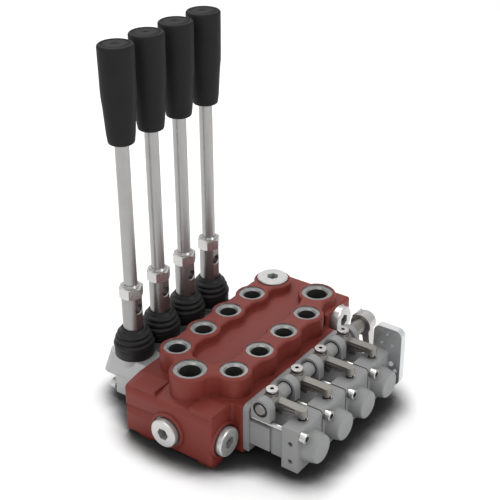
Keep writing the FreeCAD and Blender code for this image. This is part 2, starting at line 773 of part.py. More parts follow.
def knob(x):
    z0, z1 = rod_top_z, knob_top_z
    neck = 1.6
    base = [
        Vector(x, lever_y, z0),
        Vector(x + knob_bottom_radius - neck, lever_y, z0),
        Vector(x + knob_bottom_radius, lever_y, z0 + neck),
        Vector(x + knob_waist_radius, lever_y, z0 + knob_waist_height),
        Vector(x + knob_top_radius, lever_y, z1 - knob_dome),
        Vector(x + knob_top_radius - knob_dome, lever_y, z1),
        Vector(x, lever_y, z1),
    ]
    diagonal = knob_dome * (1 - math.sqrt(0.5))
    crown = Part.Arc(base[4], Vector(x + knob_top_radius - diagonal, lever_y, z1 - diagonal), base[5])
    corners = base + base[:1]
    edges = [Part.makeLine(start, end) for start, end in zip(corners, corners[1:])]
    edges[4] = crown.toShape()
    shape = Part.Face(Part.Wire(edges)).revolve(Vector(x, lever_y, 0), ALONG_Z, 360)
    return shape.cut(bar(ALONG_Z, x, lever_y, z0, rod_radius + fit_gap, knob_bore_depth))


def boot(x):
    """Bellows of soft rubber over the pivot, from the box to the stub."""
    low = box_top_z + seal_gap
    high = low + boot_height
    band = low + boot_band_height
    neck_radius = stub_radius + boot_wall + seal_gap
    outer = [(boot_radius, low), (boot_radius, band)]
    z = band
    for crest, height in boot_ribs:
        outer += [(crest - boot_groove, z + 0.1 * height), (crest, z + 0.35 * height),
                  (crest - 0.3, z + 0.7 * height)]
        z += height
    outer += [(neck_radius, high - 1.5), (neck_radius, high)]
    inner = [(neck_radius - boot_wall, high), (neck_radius - boot_wall, high - 3),
             (boot_collar_radius + seal_gap, band + 5), (boot_collar_radius + seal_gap, low)]
    return turned(outer + inner, x, lever_y)


for number, x in enumerate(section_x, 1):
    save(f"lever_stub_{number}", lever_stub(x))
    save(f"lock_nut_{number}", lock_nut(x))
    save(f"lever_rod_{number}", lever_rod(x))
    save(f"lever_knob_{number}", knob(x))
    save(f"lever_boot_{number}", boot(x))


# Spring housings with the ears of the trip shaft
def spring_housing(x, last):
    flange = box(x - flange_half_width, x + flange_half_width, flange_back_y, gear_face_y,
                 gear_bottom_z, flange_top_z)
    tops = [edge for edge in flange.Edges
            if abs(edge.BoundBox.ZMin - flange_top_z) < 1e-4 and edge.BoundBox.YLength > 1]
    flange = flange.makeFillet(5.0, tops)
    step_y = flange_back_y - 0.6 * bonnet_length
    wide = box(x - bonnet_half_width, x + bonnet_half_width, step_y, flange_back_y,
               bonnet_bottom_z, bonnet_top_z)
    slim_half = bonnet_half_width - 2.5
    slim = box(x - slim_half, x + slim_half, block_face_y, step_y, bonnet_bottom_z - 3, bonnet_top_z)
    ear_end = ear_start + ear_thickness
    ear_x = x + ear_start
    ear = bar(ALONG_X, ear_x, shaft_y, shaft_z, ear_radius, ear_thickness)
    foot = box(ear_x, x + ear_end, shaft_y - ear_radius, shaft_y + ear_radius, bonnet_top_z - 2, shaft_z)
    pieces = [flange, wide, slim, ear, foot]
    second_x = x + second_ear_start
    if last:
        radius, thickness = last_ear_radius, last_ear_thickness
    else:
        radius, thickness = second_ear_radius, pitch + ear_start - second_ear_start - seal_gap
    pieces.append(bar(ALONG_X, second_x, shaft_y, shaft_z, radius, thickness))
    pieces.append(box(second_x, second_x + last_ear_thickness, shaft_y - radius, shaft_y + radius,
                      bonnet_top_z - 2, shaft_z))
    shape = fused(pieces)
    bore_length = bonnet_length + 1
    channel_top_z = long_screw_high_z + long_screw_radius + seal_gap
    channel = box(x - flange_half_width - 1, x - long_screw_x + long_screw_radius + seal_gap,
                  block_face_y - 1, flange_back_y, bonnet_top_z, channel_top_z)
    cuts = [
        channel,
        bar(BACK_Y, x, gear_face_y + 1, spool_z, spool_radius + seal_gap, flange_thickness + 2),
        bar(BACK_Y, x, flange_back_y, spool_z, spring_bore_radius, bore_length),
        bar(ALONG_X, ear_x - 1, shaft_y, shaft_z, bush_radius + fit_gap, ear_thickness + 1),
        bar(ALONG_X, x + ear_end, shaft_y, shaft_z, shaft_radius + fit_gap, pitch),
    ]
    for dx, z in gear_screw_places:
        cuts.append(bar(ALONG_Y, x + dx, block_face_y - 1, z, long_screw_radius + 0.2,
                        bonnet_length + flange_thickness + 2))
    return shape.cut(cuts)


def end_block(x):
    """Cover over the spool's tail; the trip pin stands in its top."""
    block = box(x - block_half_width, x + block_half_width, block_front_y, block_face_y,
                gear_bottom_z, block_top_z)
    front = [edge for edge in block.Edges
             if abs(edge.BoundBox.YMax - block_front_y) < 1e-4 and edge.BoundBox.XLength > 1
             and abs(edge.BoundBox.ZMin - block_top_z) < 1e-4]
    block = block.makeFillet(3.0, front)
    cap = cone(BACK_Y, x, block_front_y, spool_z, cap_base_radius, cap_front_radius, cap_length)
    cap = round_edges(cap, 1.6, lambda edge: abs(edge.BoundBox.YMax - cap_front_y) < 1e-4)
    shape = block.fuse(cap)
    cuts = [
        bar(BACK_Y, x, block_face_y + 1, spool_z, tail_radius + seal_gap, block_face_y - tail_end_y
            + spool_stroke + seal_gap + 1),
        bar(ALONG_Z, x, pin_y, spool_z, pin_radius + fit_gap, block_top_z),
        bar(ALONG_Z, x, pin_y, block_top_z - guide_length, guide_radius + fit_gap, 2 * guide_length),
    ]
    for dx, z in gear_screw_places:
        cuts.append(bar(ALONG_Y, x + dx, block_front_y - 1, z, long_screw_radius + 0.2, block_length + 2))
    for z in side_hole_z:
        cuts.append(bar(ALONG_X, x - block_half_width, pin_y, z, side_hole_radius, side_hole_depth))
        cuts.append(bar(BACK_X, x + block_half_width, pin_y, z, side_hole_radius, side_hole_depth))
    return shape.cut(cuts)


def pin_guide(x):
    z = block_top_z - guide_length
    top_z = block_top_z + guide_rise
    ring = bar(ALONG_Z, x, pin_y, z, guide_radius, top_z - z)
    return ring.cut([
        bar(ALONG_Z, x, pin_y, z, pin_radius + fit_gap, top_z - z),
        bar(DOWN, x, pin_y, top_z, wiper_radius, wiper_depth)])


def lift_pin(x):
    bottom_z = spool_z + tail_neck_radius + seal_gap
    shape = bar(ALONG_Z, x, pin_y, bottom_z, pin_radius, tip_bottom_z - seal_gap - bottom_z)
    return round_edges(shape, 0.6, at_height(tip_bottom_z - seal_gap))


def coil(x, start_y, end_y):
    """Spring along the spool's tail, swept with flat facets to keep its mesh light."""
    rise = end_y - start_y - 2 * spring_wire_radius
    radius = spring_bore_radius - spring_wire_radius - seal_gap
    count = spring_turns * spring_steps
    points = []
    for i in range(count + 1):
        angle = 2 * math.pi * i / spring_steps
        y = start_y + spring_wire_radius + rise * i / count
        points.append(Vector(x + radius * math.cos(angle), y, spool_z + radius * math.sin(angle)))
    turn = Rotation(ALONG_Z, points[1] - points[0])
    section = []
    for i in range(spring_sides):
        angle = 2 * math.pi * i / spring_sides
        corner = Vector(spring_wire_radius * math.cos(angle), spring_wire_radius * math.sin(angle), 0)
        section.append(points[0] + turn.multVec(corner))
    mitred = 1
    section = Part.makePolygon(section + section[:1])
    return Part.makePolygon(points).makePipeShell([section], True, True, mitred)


def spring_set(x):
    """Centring spring between two cups; the cups rest on the flange step and on the end block."""
    cups = []
    inner_y = flange_back_y - cup_thickness
    for y in (inner_y, block_face_y):
        cup = bar(ALONG_Y, x, y, spool_z, spring_bore_radius - fit_gap, cup_thickness)
        cups.append(cup.cut(bar(ALONG_Y, x, y, spool_z, tail_radius + seal_gap, cup_thickness)))
    return cups + [coil(x, block_face_y + cup_thickness, inner_y)]


for number, x in enumerate(section_x, 1):
    save(f"spring_housing_{number}", spring_housing(x, number == sections))
    save(f"end_block_{number}", end_block(x))
    save(f"lift_pin_{number}", lift_pin(x))
save_group("pin_guides", [pin_guide(x) for x in section_x])
save_group("centring_springs", [piece for x in section_x for piece in spring_set(x)])
save_group("trip_gear_screws", [
    socket_screw(ALONG_Y, x + dx, block_front_y, z, long_screw_radius, long_screw_head_radius,
                 long_screw_head_height, -block_front_y + gear_face_y + gear_screw_hold)
    for x in section_x for dx, z in gear_screw_places])


# Trip shaft, its bushes, fingers and end lever
def trip_shaft():
    shaft = bar(ALONG_X, shaft_start_x, shaft_y, shaft_z, shaft_radius, shaft_end_x - shaft_start_x)
    shaft = shaft.makeChamfer(0.8, [edge for edge in shaft.Edges if edge.BoundBox.XLength < 1e-4])
    collar_x = last_x + second_ear_start + last_ear_thickness + seal_gap
    sleeve = bar(ALONG_X, collar_x, shaft_y, shaft_z, shaft_radius + 1.3, end_lever_x - collar_x - 2)
    return shaft.fuse(sleeve)


def shaft_bush(x):
    start = x + ear_start
    ring = bar(ALONG_X, start, shaft_y, shaft_z, bush_radius, ear_thickness)
    return ring.cut(bar(ALONG_X, start, shaft_y, shaft_z, shaft_radius + fit_gap, ear_thickness))


def arm_with_pocket(x):
    """Wedge shaped arm from the hub to the tip, with a ribbed pocket in its near flank."""
    top_z = shaft_z + finger_tip_top
    root_z = shaft_z - finger_root_drop
    tip_z = top_z - finger_arm_end_height
    root_y = shaft_y - finger_root_inset
    left = x - finger_arm_half

    def wedge(start_x, end_x, start_y, end_y, margin):
        """The arm's side between two places along it, drawn in by a margin."""
        low = [root_z + (tip_z - root_z) * (root_y - y) / (root_y - pin_y) + margin for y in (start_y, end_y)]
        return plate([
            Vector(start_x, start_y, low[0]), Vector(start_x, end_y, low[1]),
            Vector(start_x, end_y, top_z - margin), Vector(start_x, start_y, top_z - margin)],
            Vector(end_x - start_x, 0, 0))

    pocket_start = shaft_y - finger_hub_radius - pocket_rim
    pocket_end = pin_y + finger_tip_radius + pocket_rim
    floor_x = left + pocket_depth
    pocket = wedge(left - 1, floor_x, pocket_start, pocket_end, pocket_rim)
    rib_top = top_z - pocket_rim - upper_pocket_height
    rib = box(left - 1, floor_x, pocket_end, pocket_start, rib_top - pocket_rim, rib_top)
    arm = wedge(left, x + finger_arm_half, root_y, pin_y, 0)
    return arm.cut(pocket.cut(rib))


def finger(x):
    hub = bar(ALONG_X, x + hub_start, shaft_y, shaft_z, finger_hub_radius, hub_end - hub_start)
    hub = round_edges(hub, 0.8, lambda edge: edge.BoundBox.XLength < 1e-4)
    seat = bar(ALONG_Z, x, shaft_y, shaft_z, clamp_seat_radius, clamp_seat_rise)
    tip = bar(ALONG_Z, x, pin_y, tip_bottom_z, finger_tip_radius, finger_tip_top + finger_tip_bottom)
    tip = round_edges(tip, 0.7, at_height(tip_bottom_z))
    shape = fused([hub, seat, arm_with_pocket(x), tip])
    return shape.cut([
        bar(ALONG_X, x - 20, shaft_y, shaft_z, shaft_radius + fit_gap, 40),
        bar(ALONG_Z, x, shaft_y, shaft_z, clamp_screw_radius + fit_gap, clamp_seat_rise + 1)])


def clamp_screw(x):
    """Flat head clamp screw with a small hex socket, down to the shaft."""
    top = 3.0
    head_z = shaft_z + clamp_seat_rise
    head = turned([(0, head_z), (4.0, head_z), (5.4, head_z + 1.2), (5.4, head_z + top - 0.4),
                   (5.0, head_z + top), (0, head_z + top)], x, shaft_y)
    shank = bar(DOWN, x, shaft_y, head_z, clamp_screw_radius, clamp_seat_rise - shaft_radius - fit_gap)
    return head.fuse(shank).cut(hexagon(DOWN, x, shaft_y, head_z + top, 3.2, 2))


def end_lever():
    """Lever on the far end of the shaft that works the switch."""
    hub = bar(ALONG_X, end_lever_x, shaft_y, shaft_z, end_hub_radius, end_hub_length)
    hub = round_edges(hub, 1.0, lambda edge: edge.BoundBox.XLength < 1e-4)
    ring = bar(ALONG_X, end_lever_x - 1.8, shaft_y, shaft_z, end_hub_radius + 0.6, 1.8)
    mid_x = end_lever_x + end_hub_length / 2
    seat = bar(ALONG_Z, mid_x, shaft_y, shaft_z, clamp_seat_radius, end_hub_radius + 1.5)
    seat.rotate(Vector(mid_x, shaft_y, shaft_z), ALONG_X, end_seat_lean)
    low_z = shaft_z - end_arm_length
    x0, x1 = mid_x - end_arm_half_width, mid_x + end_arm_half_width
    arm = plate([
        Vector(x0, shaft_y - 6.5, shaft_z), Vector(x1, shaft_y - 6.5, shaft_z),
        Vector(x1, shaft_y - 3.4, low_z), Vector(x0, shaft_y - 3.4, low_z)],
        Vector(0, 3.2, 0))
    rib = box(mid_x - 1.4, mid_x + 1.4, shaft_y - 4, shaft_y + 4, low_z + 3, shaft_z)
    foot = bar(ALONG_X, x0, shaft_y - 1.6, low_z, 3.2, x1 - x0)
    lower = fused([arm, rib, foot])
    lower.rotate(Vector(mid_x, shaft_y, shaft_z), ALONG_X, -end_arm_lean)
    shape = fused([hub, ring, seat, lower])
    return shape.cut([
        bar(ALONG_X, end_lever_x - 5, shaft_y, shaft_z, shaft_radius + fit_gap, end_hub_length + 4)])


for number, x in enumerate(section_x, 1):
    save(f"trip_finger_{number}", finger(x))
save("trip_shaft", trip_shaft())
save("end_lever", end_lever())
save_group("shaft_bushes", [shaft_bush(x) for x in section_x])
save_group("clamp_screws", [clamp_screw(x) for x in section_x])


# Switch plate on the last end block
def switch_plate():
    shape = box(plate_x, plate_x + plate_thickness, plate_y0, plate_y1, plate_bottom_z, plate_top_z)
    corners = [edge for edge in shape.Edges if edge.BoundBox.XLength > 1]
    shape = shape.makeFillet(plate_corner, corners)
    cuts = []
    for i in range(3):
        angle = math.radians(90 + 120 * i)
        y = switch_y + switch_circle_radius * math.cos(angle)
        z = switch_z + switch_circle_radius * math.sin(angle)
        cuts.append(bar(ALONG_X, plate_x - 1, y, z, switch_hole_radius, plate_thickness + 2))
    for back, rise, radius in plate_holes:
        y, z = switch_y - back, plate_bottom_z + rise
        cuts.append(bar(ALONG_X, plate_x - 1, y, z, radius, plate_thickness + 2))
    for z in side_hole_z:
        cuts.append(bar(ALONG_X, plate_x - 1, pin_y, z, plate_screw_radius + 0.2, plate_thickness + 2))
    return shape.cut(cuts)


save("switch_plate", switch_plate())
save_group("switch_plate_screws", [
    socket_screw(BACK_X, plate_x + plate_thickness, pin_y, z, plate_screw_radius, 3.5,
                 2 * plate_screw_radius, plate_thickness + side_hole_depth - 1)
    for z in side_hole_z])
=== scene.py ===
import json
import math

import bmesh
import bpy
from mathutils import Matrix, Vector


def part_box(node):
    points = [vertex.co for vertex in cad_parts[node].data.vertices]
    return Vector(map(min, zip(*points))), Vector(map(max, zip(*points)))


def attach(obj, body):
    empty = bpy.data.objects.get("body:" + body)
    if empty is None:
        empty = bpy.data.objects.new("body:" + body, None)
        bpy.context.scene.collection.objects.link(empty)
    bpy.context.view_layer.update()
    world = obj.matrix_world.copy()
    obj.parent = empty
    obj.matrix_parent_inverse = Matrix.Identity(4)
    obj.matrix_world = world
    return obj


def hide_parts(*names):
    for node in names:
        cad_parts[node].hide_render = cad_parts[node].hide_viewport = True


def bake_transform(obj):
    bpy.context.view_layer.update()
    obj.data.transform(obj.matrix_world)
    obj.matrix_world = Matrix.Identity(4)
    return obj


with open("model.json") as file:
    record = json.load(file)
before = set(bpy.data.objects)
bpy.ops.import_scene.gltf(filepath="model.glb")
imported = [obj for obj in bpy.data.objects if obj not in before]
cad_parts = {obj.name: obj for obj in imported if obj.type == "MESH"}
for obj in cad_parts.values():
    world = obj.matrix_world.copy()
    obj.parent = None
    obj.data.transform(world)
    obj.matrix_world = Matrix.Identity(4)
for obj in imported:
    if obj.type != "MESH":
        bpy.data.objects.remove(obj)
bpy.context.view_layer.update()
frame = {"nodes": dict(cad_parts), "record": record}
nodes = frame["nodes"]
mounts = {mount["name"]: mount for mount in frame["record"]["mounts"]}
SECTIONS = range(1, 5)


# Materials: each one is a Finish, which adds shader nodes to itself. What a node puts out is a
# Value, so that a pattern or a mask is written as a sum of others.
class Value:
    """One socket of a finish, written into sums as if it were a number."""

    def __init__(self, finish, socket):
        self.finish = finish
        self.socket = socket

    def maths(self, operation, *others):
        sockets = dict(enumerate((self,) + others))
        return self.finish.add("ShaderNodeMath", {"operation": operation}, sockets)

    def __add__(self, other):
        return self.maths("ADD", other)

    def __sub__(self, other):
        return self.maths("SUBTRACT", other)

    def __mul__(self, other):
        return self.maths("MULTIPLY", other)

    def __rsub__(self, other):
        return self.finish.add("ShaderNodeMath", {"operation": "SUBTRACT"}, {0: other, 1: self})

    __radd__ = __add__

    def size(self):
        """The value without its sign."""
        return self.maths("ABSOLUTE")

    def under(self, limit):
        """1 where the value is under the limit, 0 elsewhere."""
        return self.maths("LESS_THAN", limit)

    def over(self, limit):
        """1 where the value is over the limit, 0 elsewhere."""
        return self.maths("GREATER_THAN", limit)

    def most(self, other):
        """The larger of two values, which joins two masks."""
        return self.maths("MAXIMUM", other)


class Finish:
    """A material, with one method that adds any node to it."""

    def __init__(self, name):
        self.material = bpy.data.materials.new(name)
        self.material.use_nodes = True
        self.tree = self.material.node_tree
        self.shader = self.tree.nodes["Principled BSDF"]

    def feed(self, socket, value):
        """Links a value to a socket, or sets the socket to a number or colour."""
        if isinstance(value, Value):
            self.tree.links.new(value.socket, socket)
        elif isinstance(value, tuple) and socket.type == "RGBA":
            socket.default_value = value + (1.0,)
        else:
            socket.default_value = value

    def add(self, kind, settings=None, sockets=None, output=0):
        """New node with its settings and sockets filled in, returned as one of its outputs."""
        node = self.tree.nodes.new(kind)
        for name, value in (settings or {}).items():
            setattr(node, name, value)
        for name, value in (sockets or {}).items():
            self.feed(node.inputs[name], value)
        return Value(self, node.outputs[output])

    def set(self, **sockets):
        """Base_Color=... sets or links the shader's own socket of that name."""
        for name, value in sockets.items():
            self.feed(self.shader.inputs[name.replace("_", " ")], value)

    def place(self):
        """Point on the piece, in metres, that stays with it when it moves."""
        return self.add("ShaderNodeTexCoord", output="Object")

    def parts(self, vector):
        """The x, y and z of a vector."""
        node = self.tree.nodes.new("ShaderNodeSeparateXYZ")
        self.feed(node.inputs[0], vector)
        return [Value(self, socket) for socket in node.outputs]

    def grain(self, scale, detail=3.0, stretch=None):
        """Noise from 0 to 1 with so many cells to the metre, which can be stretched along an axis."""
        place = self.place()
        if stretch:
            place = self.add("ShaderNodeVectorMath", {"operation": "MULTIPLY"}, {0: place, 1: stretch})
        return self.add("ShaderNodeTexNoise", None, {"Vector": place, "Scale": scale, "Detail": detail})

    def disc(self, across, up, centre, radius):
        """1 inside a circle, 0 outside."""
        dx, dy = across - centre[0], up - centre[1]
        return (dx * dx + dy * dy).under(radius * radius)

    def blend(self, share, low, high):
        """Colour between two colours, by a share from 0 to 1."""
        return self.add("ShaderNodeMix", {"data_type": "RGBA"}, {0: share, 6: low, 7: high}, output=2)

    def relief(self, height, depth, edge_radius):
        """Surface normal of worn edges with fine relief over them."""
        rounded = self.add("ShaderNodeBevel", {"samples": 6}, {"Radius": edge_radius})
        return self.add("ShaderNodeBump", None,
                        {"Strength": 1.0, "Distance": depth, "Height": height, "Normal": rounded})


def shades(colour, spread):
    """The same colour a little darker and a little lighter."""
    return (tuple(c * (1 - spread) for c in colour), tuple(c * (1 + spread) for c in colour))


# Valve body: one grey iron casting, painted brick red all over. The port faces, the bores and
# the seats of the plugs are machined after painting, so they are bare bright steel. Deep in the
# bores and in the passages under them the steel is coloured near black, as painted shade.
PAINT_RED = (0.180, 0.029, 0.021)
BARE_STEEL = (0.30, 0.30, 0.298)
# Painted shade: the near black that the deep bores and the passages under them are coloured.
BORE_SHADE = (0.032, 0.032, 0.031)
PORT_FACE_RADII = {"port_p": 0.0145, "port_t": 0.0145}
WORK_FACE_RADIUS = 0.0121
FACE_MARGIN = 0.00004        # how far the bare steel goes past a port face's edge
PORT_TOP_Z = 0.071
FACE_DEPTH = 0.0003          # the faces lie deeper than this under the painted top
RIM_DEPTH = 0.0028           # below this the bores get painted shade
BORE_DEPTH = 0.030
THROAT_RADIUS = 0.0093       # passages under the bores
PASSAGE_FLOOR_Z = 0.010
PLUG_SEAT_RADIUS = 0.0140
PLUG_SEAT_DEPTH = 0.0028
# The axis that each plug lies along, its place across and up, and the plane that its seat is past
PLUG_SEATS = (("x", 0.0042, 0.022, -0.1028), ("y", -0.0863, 0.022, -0.0413),
              ("y", 0.0936, 0.0496, -0.0405))


def casting_finish():
    paint = Finish("red_casting_paint")
    x, y, z = paint.parts(paint.place())

    bare = throat = 0.0
    for name, mount in mounts.items():
        if name.startswith("port_"):
            radius = PORT_FACE_RADII.get(name, WORK_FACE_RADIUS)
            bare = paint.disc(x, y, mount["pos_m"], radius + FACE_MARGIN) + bare
            throat = paint.disc(x, y, mount["pos_m"], THROAT_RADIUS) + throat
    bare = bare * z.over(PORT_TOP_Z - BORE_DEPTH) * z.under(PORT_TOP_Z - FACE_DEPTH)
    painted_bore_shade = bare.most(throat * z.over(PASSAGE_FLOOR_Z)) * z.under(PORT_TOP_Z - RIM_DEPTH)
    bare = bare.most(painted_bore_shade)
    for axis, across, up, face in PLUG_SEATS:
        run, depth = (y, x) if axis == "x" else (x, y)
        seat = depth.under(face) * depth.over(face - PLUG_SEAT_DEPTH)
        bare = bare.most(paint.disc(run, z, (across, up), PLUG_SEAT_RADIUS) * seat)

    cloud = paint.grain(28.0)
    red = paint.blend(cloud, *shades(PAINT_RED, 0.09))
    steel = paint.blend(paint.grain(260.0), *shades(BARE_STEEL, 0.16))
    steel = paint.blend(painted_bore_shade, steel, BORE_SHADE)
    sand = paint.grain(1400.0, 2.0)
    paint.set(
        Base_Color=paint.blend(bare, red, steel),
        Metallic=bare - painted_bore_shade,
        Roughness=0.50 + (cloud - 0.5) * 0.12 - bare * 0.14,
        Specular_IOR_Level=0.30,
        Normal=paint.relief(sand * (1.0 - bare), 0.00007, (1.0 - bare) * 0.0012))
    return paint


def dress(finish, *names):
    """Puts a finish on CAD pieces."""
    for name in names:
        slots = nodes[name].material_slots
        if not slots:
            nodes[name].data.materials.append(finish.material)
        for slot in slots:
            slot.material = finish.material


dress(casting_finish(), "valve_body")


# Plugs: turned hex socket plugs, zinc plated bright, each over a steel and rubber sealing ring.
# The relief and check poppets and the seals of the spools are inside the casting.
ZINC = (0.60, 0.60, 0.59)
# Painted shade: the colour that sockets and crevices in plated steel are darkened towards.
SOCKET_SHADE = (0.02, 0.02, 0.02)


def plated_steel(name, colour, roughness, metallic=1.0):
    """Plated or turned steel, with fine marks, slightly cloudy gloss and painted shade that darkens its
    sockets and crevices.
    """
    steel = Finish(name)
    cloud = steel.grain(90.0)
    # Painted shade: ambient occlusion darkens the colour in sockets and crevices.
    openness = steel.add("ShaderNodeAmbientOcclusion", {"samples": 8}, {"Distance": 0.006}, "AO")
    marks = steel.grain(700.0, 4.0, (1.0, 1.0, 6.0))
    steel.set(
        Base_Color=steel.blend(openness, SOCKET_SHADE, steel.blend(cloud, *shades(colour, 0.10))),
        Metallic=metallic,
        Roughness=roughness + (marks - 0.5) * 0.16,
        Normal=steel.relief(marks, 0.000006, 0.00025))
    return steel


zinc = plated_steel("zinc_plate", ZINC, 0.30, 0.60)
inner_steel = plated_steel("ground_steel", (0.48, 0.48, 0.48), 0.26)
dress(zinc, "port_plugs", "bonded_seals")
dress(inner_steel, "check_and_relief_poppets", *[f"spool_{i}" for i in SECTIONS])


# Seals: black rubber rings in the ends of the spool bores, hidden once the valve is built.
def black_rubber(name, colour, roughness, relief_depth, shine=0.30):
    rubber = Finish(name)
    bloom = rubber.grain(60.0)
    pores = rubber.grain(2600.0, 2.0)
    rubber.set(
        Base_Color=rubber.blend(bloom, *shades(colour, 0.22)),
        Roughness=roughness + (bloom - 0.5) * 0.14,
        Specular_IOR_Level=shine,
        Normal=rubber.relief(pores, relief_depth, 0.0004))
    return rubber


boot_rubber = black_rubber("boot_rubber", (0.0075, 0.0075, 0.0077), 0.50, 0.00003)
dress(boot_rubber, "spool_seals")


# Lever boxes: sand cast aluminium, shot blasted, one for each spool, held by two cap screws.
# The pivot pin goes through the collar that the boot is stretched over.
BOX_GREY = (0.43, 0.43, 0.43)


def cast_grey(name, colour, roughness, metallic, relief_depth, edge_radius):
    grey = Finish(name)
    cloud = grey.grain(45.0)
    sand = grey.grain(1700.0, 2.0)
    grey.set(
        Base_Color=grey.blend(cloud, *shades(colour, 0.06)),
        Metallic=metallic,
        Roughness=roughness + (sand - 0.5) * 0.16,
        Normal=grey.relief(sand, relief_depth, edge_radius))
    return grey


dress(cast_grey("blasted_aluminium", BOX_GREY, 0.50, 0.35, 0.00005, 0.0016),
      *[f"lever_box_{i}" for i in SECTIONS])
dress(zinc, "lever_box_screws", "pivot_pins")


# Hand levers: a turned stub with its cross hole, a lock nut and a long rod, all bright steel.
# The rod screws down into the stub and the nut locks it there.
def turned_steel(name, colour, roughness):
    """Steel with the fine rings that the lathe leaves round an upright bar."""
    steel = Finish(name)
    rings = steel.grain(500.0, 2.0, (0.05, 0.05, 9.0))
    cloud = steel.grain(70.0)
    steel.set(
        Base_Color=steel.blend(cloud, *shades(colour, 0.07)),
        Metallic=1.0,
        Roughness=roughness + (rings - 0.5) * 0.14,
        Normal=steel.relief(rings, 0.00001, 0.0003))
    return steel


rod_steel = turned_steel("drawn_rod_steel", (0.375, 0.37, 0.366), 0.36)
stub_steel = turned_steel("turned_stub_steel", (0.33, 0.325, 0.32), 0.36)
dress(rod_steel, *[f"lever_rod_{i}" for i in SECTIONS])
dress(stub_steel, *[f"lever_stub_{i}" for i in SECTIONS])
dress(plated_steel("nut_steel", (0.56, 0.55, 0.54), 0.28), *[f"lock_nut_{i}" for i in SECTIONS])


# Knobs: moulded black plastic grips with a soft crown and a flat round insert in the top.
KNOB_TOP_RADIUS = 0.0150
KNOB_WAIST_RADIUS = 0.0146
KNOB_BOTTOM_RADIUS = 0.0113
KNOB_WAIST_SHARE = 0.50       # height of the waist, up from the bottom
KNOB_FOOT_EDGE = 0.0018
KNOB_CROWN_EDGE = 0.0022
KNOB_INSERT_INSET = 0.0030    # groove round the insert, in from the side of the knob
KNOB_BORE_DEPTH = 0.030
KNOB_BORE_RADIUS = 0.0061     # just over the rod's


def arc(centre_radius, centre_z, radius, start, end, steps=6):
    """Points of a rounded corner, from one angle to another in degrees."""
    turns = [math.radians(start + (end - start) * i / steps) for i in range(steps + 1)]
    return [(centre_radius + radius * math.cos(a), centre_z + radius * math.sin(a)) for a in turns]


def turned(name, profile, x, y, segments=64):
    """Mesh of revolution about an upright axis; the profile is a closed loop of radius and height."""
    mesh = bmesh.new()
    rings = []
    for i in range(segments):
        angle = 2 * math.pi * i / segments
        rings.append([mesh.verts.new((x + r * math.cos(angle), y + r * math.sin(angle), z))
                      for r, z in profile])
    for i in range(segments):
        here, there = rings[i], rings[(i + 1) % segments]
        for j in range(len(profile)):
            k = (j + 1) % len(profile)
            mesh.faces.new((here[j], there[j], there[k], here[k]))
    bmesh.ops.remove_doubles(mesh, verts=mesh.verts, dist=1e-7)
    bmesh.ops.recalc_face_normals(mesh, faces=mesh.faces)
    data = bpy.data.meshes.new(name)
    mesh.to_mesh(data)
    mesh.free()
    data.shade_smooth()
    piece = bpy.data.objects.new(name, data)
    bpy.context.scene.collection.objects.link(piece)
    return piece


def knob_profile(low, high):
    waist = low + KNOB_WAIST_SHARE * (high - low)
    groove = KNOB_TOP_RADIUS - KNOB_INSERT_INSET
    points = [(KNOB_BORE_RADIUS, low + 0.0004)]
    points += arc(KNOB_BOTTOM_RADIUS - KNOB_FOOT_EDGE, low + KNOB_FOOT_EDGE, KNOB_FOOT_EDGE, -90, -8)
    points += [(KNOB_BOTTOM_RADIUS + 0.0008, low + 0.008),
               (KNOB_WAIST_RADIUS - 0.0010, waist - 0.010), (KNOB_WAIST_RADIUS - 0.0002, waist - 0.002),
               (KNOB_WAIST_RADIUS, waist + 0.004), (KNOB_TOP_RADIUS, high - 0.0035)]
    points += arc(KNOB_TOP_RADIUS - KNOB_CROWN_EDGE, high - KNOB_CROWN_EDGE, KNOB_CROWN_EDGE, 4, 90)
    points += [(groove, high), (groove - 0.0001, high - 0.0006), (groove - 0.0006, high - 0.0007),
               (groove - 0.0008, high - 0.0003), (0.0001, high - 0.0003),
               (0.0001, low + KNOB_BORE_DEPTH), (KNOB_BORE_RADIUS, low + KNOB_BORE_DEPTH)]
    return points


knob_plastic = black_rubber("knob_plastic", (0.0165, 0.0165, 0.0167), 0.56, 0.00004, 0.10)
for i in SECTIONS:
    low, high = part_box(f"lever_knob_{i}")
    x, y = (low[0] + high[0]) / 2, (low[1] + high[1]) / 2
    knob = turned(f"grip_{i}", knob_profile(low[2], high[2]), x, y)
    knob.data.materials.append(knob_plastic.material)
    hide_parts(f"lever_knob_{i}")
    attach(knob, f"hand_lever_{i}")


# Boots: moulded rubber bellows from the collar of the box to the stub. A plain band grips the
# collar, three round folds take up the lever's swing, and a cone with a lip closes on the stub.
BOOT_RADIUS = 0.0177
BOOT_BAND = 0.0093
BOOT_LIP_RADIUS = 0.0111
BOOT_LIP = 0.0020
FOLDS = ((0.0183, 0.0054), (0.0167, 0.0050), (0.0148, 0.0040))   # radius and height of each
FOLD_DEPTH = 0.0022
FOLD_DROOP = 0.0006
BAND_EDGE = 0.0008
STUB_RADIUS = 0.0091
COLLAR_RADIUS = 0.0139
COLLAR_HEIGHT = 0.0145


def boot_profile(low, high):
    band_z = low + BOOT_BAND
    points = [(COLLAR_RADIUS, low)]
    points += arc(BOOT_RADIUS - BAND_EDGE, low + BAND_EDGE, BAND_EDGE, -90, 0, 3)
    points += arc(BOOT_RADIUS - BAND_EDGE, band_z - BAND_EDGE, BAND_EDGE, 0, 80, 3)
    z = band_z
    for radius, height in FOLDS:
        for step in range(9):
            turn = math.radians(-78 + 156 * step / 8)
            points.append((radius - FOLD_DEPTH * (1 - math.cos(turn)) - FOLD_DROOP * math.sin(turn),
                           z + height / 2 * (1 + math.sin(turn))))
        z += height
    points += [(BOOT_LIP_RADIUS + 0.0004, high - BOOT_LIP), (BOOT_LIP_RADIUS, high - 0.0004),
               (BOOT_LIP_RADIUS - 0.0005, high), (STUB_RADIUS, high), (STUB_RADIUS, high - 0.003),
               (COLLAR_RADIUS - 0.002, low + COLLAR_HEIGHT + 0.001),
               (COLLAR_RADIUS, low + COLLAR_HEIGHT)]
    return points


